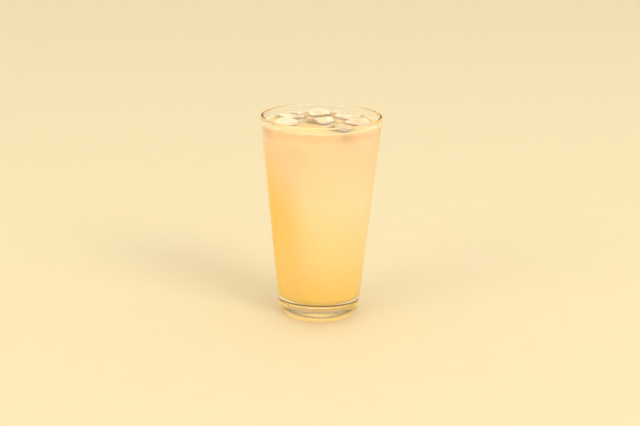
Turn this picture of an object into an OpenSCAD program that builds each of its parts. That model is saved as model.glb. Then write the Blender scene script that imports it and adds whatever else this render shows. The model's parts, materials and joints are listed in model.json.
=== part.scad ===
// Glass of iced lemonade: a tapered tumbler with a thick clear foot, filled
// to just under the rim, with ice floating at the top.
// Millimetres, +Z up. The origin is at the middle of the foot, on the table.

/* [Glass] */
// Height of the glass, foot to rim
glass_h = 152; // [110:1:190]
// Diameter across the rounded rim
rim_d = 89; // [72:0.5:112]
// Diameter that the straight side would have at the table
foot_d = 59.4; // [46:0.2:66]
// Thickness of the rounded rim
rim_t = 2.8; // [2:0.1:3.6]
// Width of the level strip along the top of the rim
rim_flat_w = 0.4; // [0.1:0.1:1]
// Wall thickness down at the glass floor
wall_foot_t = 4.6; // [3:0.1:6]
// Thickness of the solid glass floor
floor_t = 14.4; // [8:0.2:20]
// Radius of the rounded heel between side and foot
heel_r = 9; // [4:0.5:12]
// Radius inside, between wall and floor
corner_r = 5; // [2:0.5:9]
// Width of the flat ring that the glass stands on
stand_ring_w = 4; // [2:0.5:8]
// Depth of the hollow inside that ring, at its middle
hollow_depth = 1.2; // [0.4:0.1:3]

/* [Lemonade] */
// Distance from the rim down to the drink
headroom = 5; // [3:0.5:40]
// Gap between the drink and the glass or the ice that it touches
drink_gap = 0.05; // [0.02:0.01:0.2]

/* [Ice] */
// Side of a full-sized cube
ice_side = 17.5; // [13:0.5:21]
// Radius that a cube's corners have melted back to, as a share of its side
ice_melt = 0.69; // [0.6:0.01:0.72]
// Least gap between a cube and its neighbours or the glass
ice_gap = 0.3; // [0.1:0.1:1]

/* [Hidden] */
$fn = 96;

// The cubes. Each row is [place on the ring, or -1 for the middle; its sides
// as shares of ice_side; depth of its middle under the surface, as a share of
// ice_side; its turns about X, Y and Z]. Place 5, at the front, has no cube.
CUBES = [
  [0, [1.00, 0.94, 0.97], 0.37, [5, -8, 20]],
  [1, [0.98, 1.00, 0.93], 0.34, [-5, 5, 48]],
  [2, [0.95, 0.97, 1.00], 0.38, [14, 5, 12]],
  [3, [1.00, 0.96, 0.94], 0.35, [-9, 11, 30]],
  [4, [0.94, 1.00, 0.98], 0.36, [6, 9, -20]],
  [6, [0.97, 0.93, 1.00], 0.42, [-8, -5, 60]],
  [-1, [0.99, 0.95, 0.92], 0.37, [13, -10, -35]]
];
RING_PLACES = 7;
RING_START = -8;
RING_STEP = 360 / RING_PLACES;

// How far an arc laps over a straight line that runs into it, so that the two
// cross cleanly
lap = 0.002;

// Rim: one round outside and one inside, with the level strip between them
rim_r = (rim_t - rim_flat_w) / 2;
rim_line_r = rim_r - lap;
rim_out = [rim_d / 2 - rim_r, glass_h - rim_r];
rim_in = rim_out - [rim_flat_w, 0];

// Outer face: the line from the foot that passes along the rim's outer round
foot_r = foot_d / 2;
out_run = rim_out - [foot_r, 0];
out_a = atan2(out_run[0], out_run[1]) + asin(rim_line_r / norm(out_run));
out_n = [cos(out_a), -sin(out_a)];

// Inner face: the line from the floor that passes along the rim's inner round
floor_r = foot_r + floor_t * tan(out_a) - wall_foot_t;
in_run = rim_in - [floor_r, floor_t];
in_a = atan2(in_run[0], in_run[1]) - asin(rim_line_r / norm(in_run));
in_n = [cos(in_a), -sin(in_a)];

// Centres of the heel's arc and of the arc in the inside corner
heel = [foot_r + heel_r * tan(out_a) - (heel_r - lap) / cos(out_a), heel_r];
corner_x = floor_r + corner_r * tan(in_a) - (corner_r - lap) / cos(in_a);
corner = [corner_x, floor_t + corner_r];

// The hollow under the foot is part of a large sphere
hollow_r = heel[0] - stand_ring_w;
hollow_ball_r = (pow(hollow_r, 2) + pow(hollow_depth, 2)) / (2 * hollow_depth);

// How far cutting shapes run on past the rim
past_rim = 40;

// Drink level, and the inside radius of the glass at any height
level = glass_h - headroom;
function bore_r(z) = floor_r + (z - floor_t) * tan(in_a);

// The ring of cubes keeps clear of the glass at the cubes' lowest points
ice_ball_r = ice_side * ice_melt;
ice_depth = ice_side * max([for (row = CUBES) row[2]]);
ice_room_r = bore_r(level - ice_depth - ice_ball_r) - ice_gap;
ring_r = ice_room_r - ice_ball_r;
middle_room_r = ring_r - ice_ball_r;

// Half outline of the glass as a solid lump, up to the middles of the rounds
module outer_outline() {
  past_bore = rim_in - 2 * rim_r * in_n;
  polygon([
    [0, 0], [heel[0], 0], heel, heel + (heel_r - lap) * out_n,
    rim_out + rim_line_r * out_n, rim_out, rim_in, past_bore, [0, past_bore[1]]
  ]);
  translate(heel) circle(r = heel_r);
}

// Half outline of the inside, grown inwards by a gap, up to a height
module inner_outline(gap, top_z) {
  intersection() {
    union() {
      polygon([
        [0, floor_t + gap], [corner[0], floor_t + gap],
        corner, corner + (corner_r - gap - lap) * in_n,
        rim_in - (rim_line_r + gap) * in_n + past_rim * [sin(in_a), cos(in_a)],
        [0, glass_h + past_rim]
      ]);
      translate(corner) circle(r = corner_r - gap);
    }
    square([rim_d, top_z]);
  }
}

// Half outline of the rim's two rounds and the level strip between them
module rim_outline() {
  translate(rim_out) circle(r = rim_r);
  translate(rim_in) circle(r = rim_r);
  translate(rim_in) square([rim_flat_w, rim_r]);
}

module glass() {
  color([0.93, 0.96, 0.95, 0.35])
    rotate_extrude()
      intersection() {
        difference() {
          union() {
            difference() {
              outer_outline();
              inner_outline(0, glass_h + 1);
            }
            rim_outline();
          }
          translate([0, hollow_depth - hollow_ball_r]) circle(r = hollow_ball_r);
        }
        square([rim_d, glass_h]);
      }
}

// A melted cube where it floats, grown by a gap on every side
module floating_cube(row, gap) {
  ring_a = RING_START + row[0] * RING_STEP;
  place = row[0] < 0 ? [0, 0] : ring_r * [cos(ring_a), sin(ring_a)];
  translate([place[0], place[1], level - row[2] * ice_side])
    rotate(row[3])
      intersection() {
        cube(ice_side * row[1] + 2 * gap * [1, 1, 1], center = true);
        sphere(r = ice_ball_r + gap);
      }
}

// The room that one cube has to itself, grown by a gap on every side: the
// middle, or a sector of the ring
module ice_room(place, gap) {
  tall = 4 * ice_side;
  half_a = RING_STEP / 2;
  apart = ice_gap / 2 - gap;
  translate([0, 0, level - tall / 2]) {
    if (place < 0) {
      cylinder(r = middle_room_r - apart, h = tall);
    } else {
      rotate([0, 0, RING_START + place * RING_STEP])
        difference() {
          translate([apart / sin(half_a), 0, 0])
            linear_extrude(tall)
              polygon(rim_d * [[0, 0], [1, -tan(half_a)], [1, tan(half_a)]]);
          translate([0, 0, -1]) cylinder(r = middle_room_r + apart, h = tall + 2);
        }
    }
  }
}

// A cube as it is, cut where it would leave its room, grown by a gap
module fitted_cube(row, gap) {
  intersection() {
    floating_cube(row, gap);
    ice_room(row[0], gap);
  }
}

module ice(n) {
  color([0.90, 0.94, 0.95, 0.6]) fitted_cube(CUBES[n - 1], 0);
}

module lemonade() {
  color([1.0, 0.86, 0.60])
    difference() {
      rotate_extrude() inner_outline(drink_gap, level);
      for (row = CUBES) fitted_cube(row, drink_gap);
    }
}

glass();
lemonade();
for (n = [1 : len(CUBES)]) ice(n);
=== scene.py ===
# %% [markdown]
# # A glass of iced lemonade
#
# A straight-sided tapered glass with a thick clear foot stands on a table. It is filled to just
# under the rim with pale cloudy lemonade, and melting ice cubes, read as seven, float at the top.
#
# The CAD model gives every piece its place and size. This notebook keeps to them closely, except
# that the pockets for the ice are shallower. It gives each piece the shape and finish that make
# it look like clear glass, cloudy drink and ice.

# %% Load the CAD model as a fixed frame
import json
import math
from collections import namedtuple

import bmesh
import bpy
from mathutils import Matrix, Vector, noise
from mathutils.bvhtree import BVHTree

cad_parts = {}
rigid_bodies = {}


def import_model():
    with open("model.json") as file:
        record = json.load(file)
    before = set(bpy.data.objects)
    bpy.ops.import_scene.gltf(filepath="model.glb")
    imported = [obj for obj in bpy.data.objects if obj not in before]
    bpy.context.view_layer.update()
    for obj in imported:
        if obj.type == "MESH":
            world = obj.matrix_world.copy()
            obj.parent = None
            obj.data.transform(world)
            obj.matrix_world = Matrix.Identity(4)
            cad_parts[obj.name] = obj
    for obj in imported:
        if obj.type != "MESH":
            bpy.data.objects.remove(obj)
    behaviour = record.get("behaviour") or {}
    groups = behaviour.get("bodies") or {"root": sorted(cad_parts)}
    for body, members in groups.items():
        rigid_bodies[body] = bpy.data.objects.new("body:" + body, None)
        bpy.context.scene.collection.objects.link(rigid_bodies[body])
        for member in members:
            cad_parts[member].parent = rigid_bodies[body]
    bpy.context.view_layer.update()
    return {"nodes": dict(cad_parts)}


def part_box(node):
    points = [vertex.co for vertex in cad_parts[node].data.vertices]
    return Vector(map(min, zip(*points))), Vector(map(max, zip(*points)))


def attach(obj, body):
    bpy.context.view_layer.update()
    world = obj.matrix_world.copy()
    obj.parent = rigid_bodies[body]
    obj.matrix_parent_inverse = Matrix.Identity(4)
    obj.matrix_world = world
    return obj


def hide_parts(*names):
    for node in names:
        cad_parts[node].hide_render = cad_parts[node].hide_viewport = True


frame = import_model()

MM = 0.001
ICE_NODES = sorted(name for name in frame["nodes"] if name.startswith("ice_"))
print("nodes:", sorted(frame["nodes"]))

# %% [markdown]
# ## Sizes
#
# The overall sizes come from the frame: the glass's box gives its height and its rim, and the
# drink's box gives the level. The wall, the floor and the rounds can't be read from a box, so
# they are repeated here with the values that the CAD model uses.

# %% Read the driving sizes from the frame
glass_low, glass_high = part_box("glass")
drink_low, drink_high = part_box("lemonade")
GLASS_H = glass_high.z
RIM_R = (glass_high.x - glass_low.x) / 2
LEVEL = drink_high.z
FOOT_R = 29.7 * MM
RIM_T = 2.8 * MM
RIM_FLAT_W = 0.4 * MM
WALL_FOOT_T = 4.6 * MM
FLOOR_T = 14.4 * MM
HEEL_R = 9.0 * MM
CORNER_R = 5.0 * MM
STAND_RING_W = 4.0 * MM
HOLLOW_DEPTH = 1.2 * MM
print(f"glass {GLASS_H / MM:.1f} mm high, rim radius {RIM_R / MM:.2f} mm, drink up to {LEVEL / MM:.1f} mm")

# %% [markdown]
# ## Shorthand for node trees
#
# Shader and geometry trees are easier to read as text when their maths looks like maths. `Val`
# wraps one socket and overloads the arithmetic operators, in both orders, so `1 - mask` adds a
# Math node. `Graph.node` adds any other node: its settings first, then its sockets.

# %% A socket that does arithmetic, and a node tree with one way to add a node
class Val:
    """One output socket, on which arithmetic adds Math nodes."""

    def __init__(self, graph, socket):
        self.graph = graph
        self.socket = socket

    def maths(self, operation, *values):
        return self.graph.node("ShaderNodeMath", {"operation": operation}, dict(enumerate(values)))[0]

    def __add__(self, other):
        return self.maths("ADD", self, other)

    def __radd__(self, other):
        return self.maths("ADD", other, self)

    def __sub__(self, other):
        return self.maths("SUBTRACT", self, other)

    def __rsub__(self, other):
        return self.maths("SUBTRACT", other, self)

    def __mul__(self, other):
        return self.maths("MULTIPLY", self, other)

    def __rmul__(self, other):
        return self.maths("MULTIPLY", other, self)

    def __truediv__(self, other):
        return self.maths("DIVIDE", self, other)

    def __rtruediv__(self, other):
        return self.maths("DIVIDE", other, self)


class Made:
    """A node that was added; made["Name"] or made[0] is one of its outputs."""

    def __init__(self, graph, node):
        self.graph = graph
        self.node = node

    def __getitem__(self, key):
        return Val(self.graph, self.node.outputs[key])


class Graph:
    """A node tree."""

    def __init__(self, tree):
        self.tree = tree
        tree.nodes.clear()

    def node(self, kind, settings=None, sockets=None):
        node = self.tree.nodes.new(kind)
        for key, value in (settings or {}).items():
            if key == "stops":
                self.set_stops(node.color_ramp, value)
            else:
                setattr(node, key, value)
        for key, value in (sockets or {}).items():
            if isinstance(value, Val):
                self.tree.links.new(value.socket, node.inputs[key])
            else:
                node.inputs[key].default_value = value
        return Made(self, node)

    def set_stops(self, ramp, stops):
        while len(ramp.elements) < len(stops):
            ramp.elements.new(1.0)
        for element, (position, colour) in zip(ramp.elements, stops):
            element.position = position
            element.color = colour


print("shorthand ready")

# %% [markdown]
# ## Turning an outline into a round piece
#
# The glass and the drink are both bodies of revolution. A potter's lathe is the natural rule, so
# a Geometry Nodes tree does it: a grid is wrapped round the axis, and each of its rows takes its
# radius and height from one point of the outline. The seam and the poles are merged, which
# leaves a closed mesh. Changing the outline or the number of segments remakes the piece.

# %% A geometry tree with named inputs
def geometry_tree(name, inputs):
    """A new geometry tree with a Geometry input and output, and the named inputs."""
    tree = bpy.data.node_groups.new(name, "GeometryNodeTree")
    tree.interface.new_socket("Geometry", in_out="INPUT", socket_type="NodeSocketGeometry")
    for label, kind in inputs.items():
        tree.interface.new_socket(label, in_out="INPUT", socket_type="NodeSocket" + kind)
    tree.interface.new_socket("Geometry", in_out="OUTPUT", socket_type="NodeSocketGeometry")
    graph = Graph(tree)
    return graph, graph.node("NodeGroupInput")


def drop_empty_slots(mesh):
    """Drops the empty material slot that a mesh made by nodes starts with."""
    kept = [material for material in mesh.materials if material]
    indices = [kept.index(mesh.materials[p.material_index]) for p in mesh.polygons]
    mesh.materials.clear()
    for material in kept:
        mesh.materials.append(material)
    mesh.polygons.foreach_set("material_index", indices)


def run_tree(tree, name, start, values):
    """Runs a geometry tree on a start mesh and gives its result as a plain mesh object."""
    host = bpy.data.objects.new(name + "_host", start)
    bpy.context.scene.collection.objects.link(host)
    modifier = host.modifiers.new("nodes", "NODES")
    modifier.node_group = tree
    for item in tree.interface.items_tree:
        if item.in_out == "INPUT" and item.name in values:
            modifier[item.identifier] = values[item.name]
    bpy.context.view_layer.update()
    evaluated = host.evaluated_get(bpy.context.evaluated_depsgraph_get())
    mesh = bpy.data.meshes.new_from_object(evaluated)
    host.modifiers.remove(modifier)
    bpy.data.objects.remove(host)
    drop_empty_slots(mesh)
    mesh.name = name
    made = bpy.data.objects.new(name, mesh)
    bpy.context.scene.collection.objects.link(made)
    return made


# %% The lathe
def build_lathe():
    graph, group = geometry_tree("lathe", {"Rings": "Int", "Segments": "Int", "Material": "Material"})
    segments = group["Segments"]
    columns = segments + 1
    grid = graph.node("GeometryNodeMeshGrid", {}, {"Vertices X": group["Rings"], "Vertices Y": columns})
    index = graph.node("GeometryNodeInputIndex")["Index"]
    ring = index.maths("FLOOR", index / columns)
    angle = (index - ring * columns) * math.tau / segments
    outline = graph.node("GeometryNodeSampleIndex", {"data_type": "FLOAT_VECTOR"}, {
        "Geometry": group["Geometry"],
        "Value": graph.node("GeometryNodeInputPosition")["Position"],
        "Index": ring})
    point = graph.node("ShaderNodeSeparateXYZ", {}, {0: outline["Value"]})
    place = graph.node("ShaderNodeCombineXYZ", {}, {
        "X": point["X"] * angle.maths("COSINE", angle),
        "Y": point["X"] * angle.maths("SINE", angle),
        "Z": point["Z"]})
    shaped = graph.node("GeometryNodeSetPosition", {}, {"Geometry": grid["Mesh"], "Position": place[0]})
    closed = graph.node("GeometryNodeMergeByDistance", {}, {"Geometry": shaped[0], "Distance": 1e-6})
    smooth = graph.node("GeometryNodeSetShadeSmooth", {}, {"Geometry": closed[0]})
    real = graph.node("GeometryNodeRealizeInstances", {}, {"Geometry": smooth[0]})
    done = graph.node("GeometryNodeSetMaterial", {}, {"Geometry": real[0], "Material": group["Material"]})
    graph.node("NodeGroupOutput", {}, {"Geometry": done[0]})
    return graph.tree


LATHE = build_lathe()


def face_outwards(obj):
    """Turns a closed mesh's faces outwards."""
    work = bmesh.new()
    work.from_mesh(obj.data)
    bmesh.ops.recalc_face_normals(work, faces=work.faces)
    work.to_mesh(obj.data)
    work.free()


def turn_on_lathe(name, outline, segments, material):
    """A closed round piece from a list of (radius, height) points."""
    line = bpy.data.meshes.new(name + "_outline")
    line.from_pydata([(r, 0, z) for r, z in outline], [], [])
    made = run_tree(LATHE, name, line, {"Rings": len(outline), "Segments": segments, "Material": material})
    bpy.data.meshes.remove(line)
    face_outwards(made)
    print(f"{name}: {len(made.data.vertices)} points, {len(made.data.polygons)} faces")
    return made


# %% Helpers for outlines
Line = namedtuple("Line", "angle normal")


def side_line(start, round_centre, round_r, outside):
    """The line from start that touches a round on one side: its lean and its outward normal."""
    run = Vector(round_centre) - Vector(start)
    sign = 1 if outside else -1
    angle = math.atan2(run.x, run.y) + sign * math.asin(round_r / run.length)
    return Line(angle, Vector((math.cos(angle), -math.sin(angle))))


def arc(centre, radius, start, end, steps):
    """Points on an arc, from one direction to another, in degrees from straight out."""
    turns = [math.radians(start + (end - start) * k / steps) for k in range(steps + 1)]
    return [(centre[0] + radius * math.cos(a), centre[1] + radius * math.sin(a)) for a in turns]


def straight(start, end, spacing):
    """Points between two ends, not counting the ends themselves."""
    start, end = Vector(start), Vector(end)
    count = max(1, round((end - start).length / spacing))
    return [tuple(start.lerp(end, k / count)) for k in range(1, count)]


print("lathe and outline helpers ready")

# %% [markdown]
# ## The glass's two faces
#
# The side is a cone outside and a slightly steeper cone inside, so the wall grows from a thin
# rim to a strong foot. Both lines run into the rounds of the rim and of the foot without a
# corner, so their slopes are worked out from the rounds.

# %% Work out the outline's lines and rounds
RIM_ROUND = (RIM_T - RIM_FLAT_W) / 2
rim_out = Vector((RIM_R - RIM_ROUND, GLASS_H - RIM_ROUND))
rim_in = rim_out - Vector((RIM_FLAT_W, 0))
outer = side_line((FOOT_R, 0), rim_out, RIM_ROUND, outside=True)
floor_r = FOOT_R + FLOOR_T * math.tan(outer.angle) - WALL_FOOT_T
inner = side_line((floor_r, FLOOR_T), rim_in, RIM_ROUND, outside=False)
heel = Vector((FOOT_R + HEEL_R * (math.tan(outer.angle) - 1 / math.cos(outer.angle)), HEEL_R))
corner = Vector((floor_r + CORNER_R * (math.tan(inner.angle) - 1 / math.cos(inner.angle)),
                 FLOOR_T + CORNER_R))


def bore_r(z):
    """The inside radius of the glass at a height."""
    return floor_r + (z - FLOOR_T) * math.tan(inner.angle)


print(f"outer lean {math.degrees(outer.angle):.2f} deg, inner lean {math.degrees(inner.angle):.2f} deg")

# %% [markdown]
# ## Clear glass
#
# The glass looks clear and colourless. Any tint of the real one isn't known: the faintest green
# here is a choice, and it is the same at every surface. The finish is a Principled shader that
# transmits all its light. Handled glass is rarely quite even, so noise moves its roughness a
# little and a weak bump gives a soft ripple. The underside is made matt here, which evens out
# what shows through the foot. Whether the real one is matt isn't known. Light from a lamp passes
# straight through, so the drink inside is lit.

# %% Glass finish
def new_finish(name):
    """A new material and the graph of its nodes."""
    material = bpy.data.materials.new(name)
    material.use_nodes = True
    return material, Graph(material.node_tree)


def noise_field(graph, scale, detail):
    """Soft noise over the piece, from 0 to 1, that many times to the metre."""
    place = graph.node("ShaderNodeTexCoord")["Object"]
    return graph.node("ShaderNodeTexNoise", {}, {"Vector": place, "Scale": scale, "Detail": detail})["Fac"]


def bumps(graph, strength, height):
    """A Bump node's normal, for bumps about a millimetre high at full strength."""
    bump = graph.node("ShaderNodeBump", {}, {"Strength": strength, "Distance": 1 * MM, "Height": height})
    return bump["Normal"]


def ramp(graph, value, stops):
    """The colour at a value between stops of (value, colour); a single number is a grey."""
    colours = [(at, (*colour, 1) if isinstance(colour, tuple) else (colour, colour, colour, 1))
               for at, colour in stops]
    return graph.node("ShaderNodeValToRGB", {"stops": colours}, {"Fac": value})["Color"]


def mix_colours(graph, share, first, second):
    """A colour between two; each is a plain colour or comes from another node."""
    first, second = [c if isinstance(c, Val) else (*c, 1) for c in (first, second)]
    return graph.node("ShaderNodeMix", {"data_type": "RGBA"}, {0: share, 6: first, 7: second})[2]


def clear_shader(graph, colour, ior, roughness, normal):
    """Clear glass or ice."""
    return graph.node("ShaderNodeBsdfPrincipled", {}, {
        "Base Color": (*colour, 1), "Transmission Weight": 1.0, "IOR": ior,
        "Roughness": roughness, "Normal": normal})[0]


def lit_through(graph, body, colour):
    """The same finish, but light on its way from a lamp goes straight through it."""
    thin = graph.node("ShaderNodeBsdfTransparent", {}, {"Color": (*colour, 1)})
    path = graph.node("ShaderNodeLightPath")
    return graph.node("ShaderNodeMixShader", {}, {0: path["Is Shadow Ray"], 1: body, 2: thin[0]})[0]


GROUND_ROUGHNESS = 0.22


def glass_finish():
    material, graph = new_finish("clear_glass")
    normal = bumps(graph, 0.03, noise_field(graph, 45.0, 1.0))
    up = graph.node("ShaderNodeSeparateXYZ", {}, {0: graph.node("ShaderNodeTexCoord")["Object"]})["Z"]
    ground = graph.node("ShaderNodeMapRange", {}, {
        0: up, 1: 1.3 * MM, 2: 1.6 * MM, 3: GROUND_ROUGHNESS, 4: 0.0})
    smears = noise_field(graph, 60.0, 3.0) * 0.012 + ground[0]
    clear = clear_shader(graph, (0.985, 0.995, 0.985), 1.5, smears, normal)
    graph.node("ShaderNodeOutputMaterial", {}, {"Surface": lit_through(graph, clear, (0.99, 1.0, 0.99))})
    return material


CLEAR_GLASS = glass_finish()
print("finish:", CLEAR_GLASS.name)

# %% Turn the glass
def glass_outline():
    lean_out = math.degrees(outer.angle)
    lean_in = math.degrees(inner.angle)
    hollow_r = heel.x - STAND_RING_W
    ball_r = (hollow_r ** 2 + HOLLOW_DEPTH ** 2) / (2 * HOLLOW_DEPTH)
    hollow_turn = math.degrees(math.asin(hollow_r / ball_r))
    hollow = arc((0, HOLLOW_DEPTH - ball_r), ball_r, 90, 90 - hollow_turn, 14)
    heel_arc = arc(heel, HEEL_R, -90, -lean_out, 20)
    rim_outer = arc(rim_out, RIM_ROUND, -lean_out, 90, 10)
    rim_inner = arc(rim_in, RIM_ROUND, 90, 180 - lean_in, 10)
    corner_arc = arc(corner, CORNER_R, -lean_in, -90, 14)
    points = [(0.0, HOLLOW_DEPTH)] + hollow[1:]
    points += straight(points[-1], heel_arc[0], 1 * MM) + heel_arc
    points += straight(points[-1], rim_outer[0], 3 * MM) + rim_outer + rim_inner
    points += straight(points[-1], corner_arc[0], 3 * MM) + corner_arc
    points += straight(points[-1], (0, FLOOR_T), 1.5 * MM) + [(0.0, FLOOR_T)]
    return points


GLASS_SEGMENTS = 256
glass = turn_on_lathe("glass_body", glass_outline(), GLASS_SEGMENTS, CLEAR_GLASS)
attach(glass, "root")
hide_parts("glass")

# %% [markdown]
# ## Ice
#
# The cubes are part melted, with round corners. How far they have melted, and how clear they
# are, isn't known. The soft hollows in their faces, and the milky ice with clearer windows here
# and there, are a guess at such cubes. So the finish mixes a scattering cream white with clear
# ice by a cloud of noise, and lamp light goes through both to the drink below. Each starts from
# its CAD cube, which fixes its place and tilt. A voxel remesh gives it an even skin, smoothing
# melts its edges, and noise moves the skin in and out as uneven melting does.

# %% Ice finish
ICE_IOR = 1.31


def ice_finish():
    material, graph = new_finish("ice")
    normal = bumps(graph, 0.06, noise_field(graph, 200.0, 2.0))
    wet = noise_field(graph, 90.0, 2.0) * 0.06
    clear = clear_shader(graph, (0.985, 0.99, 0.99), ICE_IOR, wet, normal)
    cloud = graph.node("ShaderNodeBsdfPrincipled", {}, {
        "Base Color": (0.96, 0.81, 0.59, 1), "Subsurface Weight": 1.0, "Subsurface Scale": 0.006,
        "Subsurface Radius": (1.0, 1.0, 1.0), "Roughness": 0.15, "IOR": ICE_IOR, "Normal": normal})
    veil = ramp(graph, noise_field(graph, 60.0, 3.0), [(0.35, 0.62), (0.65, 0.97)])
    both = graph.node("ShaderNodeMixShader", {}, {0: veil, 1: clear, 2: cloud[0]})
    graph.node("ShaderNodeOutputMaterial", {}, {"Surface": lit_through(graph, both[0], (0.97, 0.95, 0.90))})
    return material


ICE = ice_finish()
print("finish:", ICE.name)

# %% Melt each cube
SKIN = 0.45 * MM
MELT_PASSES = 3
HOLLOW_SHIFT = 0.35 * MM
HOLLOW_WIDTH = 7 * MM
DIMPLE_SHIFT = 0.04 * MM
DIMPLE_WIDTH = 1.8 * MM


def plain_copy(obj, name):
    """A copy of a CAD node's mesh with its loose triangles merged."""
    mesh = obj.data.copy()
    mesh.name = name
    work = bmesh.new()
    work.from_mesh(mesh)
    bmesh.ops.remove_doubles(work, verts=work.verts, dist=1e-6)
    work.to_mesh(mesh)
    work.free()
    mesh.materials.clear()
    made = bpy.data.objects.new(name, mesh)
    bpy.context.scene.collection.objects.link(made)
    return made


def apply_modifiers(obj):
    """Replaces an object's mesh with what its modifiers make of it."""
    bpy.context.view_layer.update()
    evaluated = obj.evaluated_get(bpy.context.evaluated_depsgraph_get())
    mesh = bpy.data.meshes.new_from_object(evaluated)
    old = obj.data
    obj.modifiers.clear()
    obj.data = mesh
    bpy.data.meshes.remove(old)
    mesh.name = obj.name


def move_skin(obj, shift):
    """Moves each point along its normal by shift(point)."""
    for vertex, normal in [(v, v.normal.copy()) for v in obj.data.vertices]:
        vertex.co += normal * shift(vertex.co)
    obj.data.update()


def melted(seed):
    """How far the skin of one cube moves at a point."""
    offset = Vector((seed * 7.3, seed * 3.1, seed * 5.7))

    def shift(point):
        broad = noise.noise(point / HOLLOW_WIDTH + offset)
        fine = noise.noise(point / DIMPLE_WIDTH + offset)
        return HOLLOW_SHIFT * (broad - 0.35) + DIMPLE_SHIFT * fine

    return shift


def melt_cube(node_name, seed):
    cube = plain_copy(frame["nodes"][node_name], "melted_" + node_name)
    remesh = cube.modifiers.new("skin", "REMESH")
    remesh.mode = "VOXEL"
    remesh.voxel_size = SKIN
    smooth = cube.modifiers.new("melt", "SMOOTH")
    smooth.factor = 0.5
    smooth.iterations = MELT_PASSES
    apply_modifiers(cube)
    move_skin(cube, melted(seed))
    cube.data.materials.append(ICE)
    cube.data.polygons.foreach_set("use_smooth", [True] * len(cube.data.polygons))
    return cube


cubes = [melt_cube(node_name, seed) for seed, node_name in enumerate(ICE_NODES)]
for cube, node_name in zip(cubes, ICE_NODES):
    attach(cube, "root")
    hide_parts(node_name)
print(f"{len(cubes)} cubes, {sum(len(c.data.polygons) for c in cubes)} faces")

# %% [markdown]
# ## Lemonade
#
# Cloudy lemonade is a pale liquid full of fine pulp, so light goes in, scatters and comes out
# again some way off. Subsurface scattering does that. The colour is a pale peach that is a
# little pinker at the top and more golden at the foot. It is also more golden down the left side
# and at both edges, and that is painted light: painted shade with yellow bounce light in it down
# the left side, and painted yellow light coming through the thin drink at both edges. What makes
# those zones golden isn't known: syrup is only the name they have here.
# The very top is darker at the wall, which is painted shade, so that the thin lip there doesn't glow.

# %% Lemonade finish
def lemonade_finish(name, specular, lip):
    material, graph = new_finish(name)
    place = graph.node("ShaderNodeTexCoord")["Object"]
    axes = graph.node("ShaderNodeSeparateXYZ", {}, {0: place})
    up = (axes["Z"] - FLOOR_T) / (LEVEL - FLOOR_T)
    drift = noise_field(graph, 22.0, 3.0) - 0.5
    layers = ramp(graph, up + drift * 0.1, [
        (0.0, (1.00, 0.560, 0.125)),
        (0.25, (1.00, 0.645, 0.280)),
        (0.60, (1.00, 0.700, 0.420)),
        (0.94, (1.00, 0.640, 0.400)),
        (1.0, lip)])
    # Painted light: a mask that is golden down the left side for painted shade with yellow bounce light,
    # and at both edges for painted yellow light coming through the thin drink.
    side = axes["X"] / (FOOT_R + (RIM_R - FOOT_R) * (axes["Z"] / GLASS_H))
    low = up - 0.4
    left = drift * 0.3 - axes["X"] / RIM_R * 0.8 - low * low * 2.5
    left_edge = side.maths("MAXIMUM", side * -1.0 - 0.75, 0.0) * (1.0 - up) * 3.0
    right_edge = (side - 0.80) * 2.2
    painted_bounce_mask = ramp(graph, side.maths("MAXIMUM", left + left_edge, right_edge), [(0.05, 0.0), (0.75, 1.0)])
    # The golden colour of that painted shade and bounce light.
    golden = mix_colours(graph, painted_bounce_mask, layers, (1.0, 0.600, 0.080))
    pulp = (noise_field(graph, 700.0, 3.0) - 0.4) * 0.2
    flecked = mix_colours(graph, pulp, golden, (1.0, 0.80, 0.50))
    body = graph.node("ShaderNodeBsdfPrincipled", {}, {
        "Base Color": flecked, "Subsurface Weight": 1.0, "Subsurface Scale": 0.03,
        "Subsurface Radius": (1.0, 1.0, 1.0), "Roughness": 0.12, "IOR": 1.34,
        "Specular IOR Level": specular})
    graph.node("ShaderNodeOutputMaterial", {}, {"Surface": body[0]})
    return material


# The side's lip colour, darker than the rest, is painted shade at the very top of the wall, so that the
# thin lip there doesn't glow.
LEMONADE = lemonade_finish("lemonade", 0.0, (0.72, 0.400, 0.200))
LEMONADE_TOP = lemonade_finish("lemonade_surface", 0.5, (1.00, 0.640, 0.330))
print("finishes:", LEMONADE.name, LEMONADE_TOP.name)

# %% [markdown]
# The drink is turned on the lathe like the glass. It reaches a quarter of a millimetre into the
# wall, so no air shows between them. At the wall the surface creeps up in a low meniscus, which
# fades over a few millimetres.

# %% Turn the drink
BITE = 0.25 * MM
CREEP_H = 0.45 * MM
CREEP_W = 1.4 * MM
TOP_STEP = 0.6 * MM


def creep(distance, height=CREEP_H, width=CREEP_W):
    """How high the surface has crept up at a distance from a wall or a cube."""
    return height * math.exp(-max(distance, -BITE) / width)


def drink_outline():
    lean = math.degrees(inner.angle)
    corner_arc = arc(corner, CORNER_R + BITE, -90, -lean, 12)
    top_z = LEVEL + CREEP_H
    edge = (bore_r(top_z) + BITE, top_z)
    rows = math.ceil(edge[0] / TOP_STEP)
    radii = [edge[0] * (1 - k / rows) for k in range(1, rows + 1)]
    points = [(0.0, FLOOR_T - BITE)] + straight((0, FLOOR_T - BITE), corner_arc[0], 2 * MM) + corner_arc
    points += straight(points[-1], edge, 3 * MM) + [edge]
    return points + [(r, LEVEL + creep(bore_r(LEVEL) - r)) for r in radii]


DRINK_SEGMENTS = 320
drink = turn_on_lathe("lemonade_body", drink_outline(), DRINK_SEGMENTS, LEMONADE)

# %% [markdown]
# The surface isn't a flat lid. It creeps up every cube as it does up the wall, so each point of
# the top rises by its distance to the nearest ice. The faint ripple that is added is a choice.
# Then the cubes, a quarter of a millimetre thinner all round and about a third as deep, are cut
# out of the drink. Below those pockets the ice runs on inside the drink's mesh.

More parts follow.
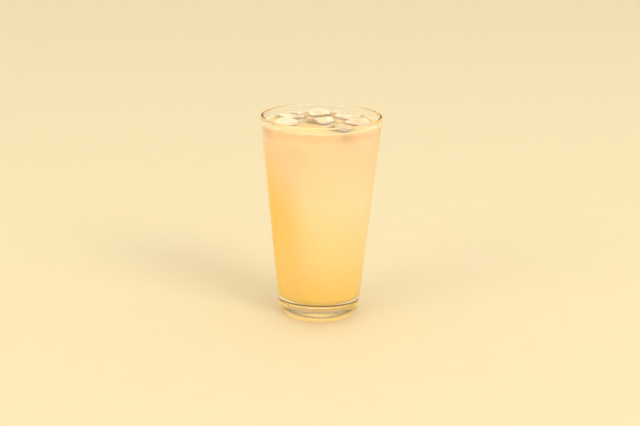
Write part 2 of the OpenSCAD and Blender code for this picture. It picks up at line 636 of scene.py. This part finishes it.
# %% Shape the surface round the ice
RIPPLE_H = 0.12 * MM
RIPPLE_W = 9 * MM
HAIR = 0.01 * MM
ICE_CREEP_H = 0.6 * MM
ICE_CREEP_W = 1.2 * MM


def ice_tree(obj):
    """A cube's faces, sorted so that the nearest is quick to find."""
    return BVHTree.FromPolygons([v.co for v in obj.data.vertices],
                                [p.vertices for p in obj.data.polygons])


trees = [ice_tree(cube) for cube in cubes]


def distance_to_ice(point):
    """The distance from a point to the nearest cube, less than 0 inside one."""
    nearest = 1.0
    for tree in trees:
        hit, normal, _, distance = tree.find_nearest(point)
        nearest = min(nearest, math.copysign(distance, (point - hit).dot(normal)))
    return nearest


def is_top(point):
    """Whether a point is on the open surface, within a hair."""
    return point.z > LEVEL - HAIR and point.xy.length < bore_r(LEVEL) + HAIR


for vertex in drink.data.vertices:
    if is_top(vertex.co):
        flat = Vector((vertex.co.x, vertex.co.y, LEVEL))
        ripple = RIPPLE_H * noise.noise(flat / RIPPLE_W)
        vertex.co.z += creep(distance_to_ice(flat), ICE_CREEP_H, ICE_CREEP_W) + ripple
drink.data.update()

# %% Cut the cubes out of the drink
POCKET_DEPTH = 0.35
SHARP_EDGE = math.radians(60)


def cutter(cube):
    """A thinner and shallower copy of a cube, whose faces bring the drink's own finish."""
    copy = bpy.data.objects.new(cube.name + "_cutter", cube.data.copy())
    copy.data.materials.clear()
    copy.data.materials.append(LEMONADE)
    move_skin(copy, lambda point: -BITE)
    for vertex in copy.data.vertices:
        vertex.co.z = LEVEL + (vertex.co.z - LEVEL) * (POCKET_DEPTH if vertex.co.z < LEVEL else 1)
    return copy


pockets = bpy.data.collections.new("pockets")
bpy.context.scene.collection.children.link(pockets)
for cube in cubes:
    pockets.objects.link(cutter(cube))
cut = drink.modifiers.new("pockets", "BOOLEAN")
cut.operation = "DIFFERENCE"
cut.solver = "EXACT"
cut.operand_type = "COLLECTION"
cut.collection = pockets
cut.material_mode = "TRANSFER"
apply_modifiers(drink)
for obj in list(pockets.objects):
    bpy.data.objects.remove(obj)
bpy.data.collections.remove(pockets)

drink.data.materials.append(LEMONADE_TOP)
top_slot = len(drink.data.materials) - 1
for polygon in drink.data.polygons:
    polygon.use_smooth = True
    centre = polygon.center
    on_pocket = distance_to_ice(centre) < -BITE / 2
    if centre.z > LEVEL - 0.5 * MM and centre.xy.length < bore_r(centre.z) and not on_pocket:
        polygon.material_index = top_slot
drink.data.set_sharp_from_angle(angle=SHARP_EDGE)
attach(drink, "root")
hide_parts("lemonade")
print(f"drink: {len(drink.data.polygons)} faces, materials {[m.name for m in drink.data.materials]}")

# %% [markdown]
# ## Floor, light and camera
#
# The glass stands on a plain pale floor. A large soft lamp to the front right is the key light,
# and a weaker one fills from the left. The sky is pale all round and lights the drink evenly.
# Clear glass needs something darker to show at its edges, so a straight path through the glass
# or off its skin meets a room instead: brown low down, pale overhead, and a warm wall behind.

# %% Floor
def floor_finish():
    material, graph = new_finish("pale_floor")
    colour = mix_colours(graph, noise_field(graph, 40.0, 2.0), (0.74, 0.645, 0.415), (0.76, 0.665, 0.435))
    body = graph.node("ShaderNodeBsdfPrincipled", {}, {"Base Color": colour, "Roughness": 0.7})
    graph.node("ShaderNodeOutputMaterial", {}, {"Surface": body[0]})
    return material


AIR_GAP = 0.05 * MM
FLOOR_R = 6
bpy.ops.mesh.primitive_circle_add(vertices=96, radius=FLOOR_R, fill_type="NGON")
floor = bpy.context.object
floor.name = "floor"
floor.location.z = -AIR_GAP
floor.data.materials.append(floor_finish())
print(f"floor radius {FLOOR_R} m")

# %% Light
def area_light(name, place, target, size, power, colour):
    data = bpy.data.lights.new(name, "AREA")
    data.shape = "DISK"
    data.size = size
    data.energy = power
    data.color = colour
    lamp = bpy.data.objects.new(name, data)
    lamp.location = place
    lamp.rotation_euler = (Vector(target) - Vector(place)).to_track_quat("-Z", "Y").to_euler()
    bpy.context.scene.collection.objects.link(lamp)
    return lamp


SKY_STRENGTH = 1.25


def smooth_step(graph, value, low, high, start=0.0, end=1.0):
    """Goes softly from start to end while the value goes from low to high."""
    return graph.node("ShaderNodeMapRange", {"interpolation_type": "SMOOTHSTEP"},
                      {0: value, 1: low, 2: high, 3: start, 4: end})[0]


def sky():
    world = bpy.data.worlds.new("studio")
    world.use_nodes = True
    graph = Graph(world.node_tree)
    ray = graph.node("ShaderNodeTexCoord")["Generated"]
    axes = graph.node("ShaderNodeSeparateXYZ", {}, {0: ray})
    up = axes["Z"]
    pale = ramp(graph, up, [(0.0, (1.0, 0.93, 0.80)), (0.4, (0.95, 0.90, 0.80)), (0.9, (0.70, 0.67, 0.62))])
    room = ramp(graph, up, [
        (0.0, (1.0, 0.90, 0.66)),
        (0.05, (0.20, 0.11, 0.035)),
        (0.22, (0.20, 0.12, 0.04)),
        (0.34, (0.60, 0.46, 0.27)),
        (0.55, (1.15, 1.05, 0.88))])
    behind = smooth_step(graph, axes["Y"], 0.5, 0.8)
    above_foot = smooth_step(graph, up, 0.15, 0.26)
    below_top = smooth_step(graph, up, 0.55, 0.80, 1.0, 0.0)
    walled = mix_colours(graph, behind * above_foot * below_top, room, (1.0, 0.66, 0.20))
    path = graph.node("ShaderNodeLightPath")
    bent = path["Is Glossy Ray"].maths("MAXIMUM", path["Is Glossy Ray"], path["Is Transmission Ray"])
    straight_path = bent * bent.maths("LESS_THAN", path["Diffuse Depth"], 0.5)
    seen = mix_colours(graph, straight_path, pale, walled)
    back = graph.node("ShaderNodeBackground", {}, {"Color": seen, "Strength": SKY_STRENGTH})
    graph.node("ShaderNodeOutputWorld", {}, {"Surface": back[0]})
    return world


middle = Vector((0, 0, GLASS_H / 2))
area_light("key", (2.2, -2.2, 2.3), middle, 1.8, 52, (1.0, 0.97, 0.93))
area_light("fill", (-2.6, -2.2, 1.6), middle, 2.4, 33, (1.0, 0.94, 0.82))
bpy.context.scene.world = sky()
bpy.context.scene.view_settings.view_transform = "Standard"

# %% [markdown]
# The camera looks down on the glass from a little above the rim, at about sixteen degrees, with
# a short portrait lens. It leans by just under a degree, and it is aimed a little above the
# middle of the glass.

# %% Camera
CAMERA_DISTANCE = 0.900
CAMERA_ELEVATION = math.radians(16.42)
CAMERA_ROLL = math.radians(0.942)
CAMERA_LENS = 67.94
AIM_RISE = 1.76 * MM


def place_camera():
    data = bpy.data.cameras.new("camera")
    data.lens = CAMERA_LENS
    data.sensor_width = 36
    camera = bpy.data.objects.new("camera", data)
    back = Vector((0, -math.cos(CAMERA_ELEVATION), math.sin(CAMERA_ELEVATION)))
    up = Vector((0, math.sin(CAMERA_ELEVATION), math.cos(CAMERA_ELEVATION)))
    turn = (-back).to_track_quat("-Z", "Y").to_matrix().to_4x4()
    place = Matrix.Translation(middle + back * CAMERA_DISTANCE + up * AIM_RISE)
    camera.matrix_world = place @ turn @ Matrix.Rotation(CAMERA_ROLL, 4, "Z")
    bpy.context.scene.collection.objects.link(camera)
    bpy.context.scene.camera = camera
    return camera


camera = place_camera()
print("camera at", [round(x, 3) for x in camera.location])
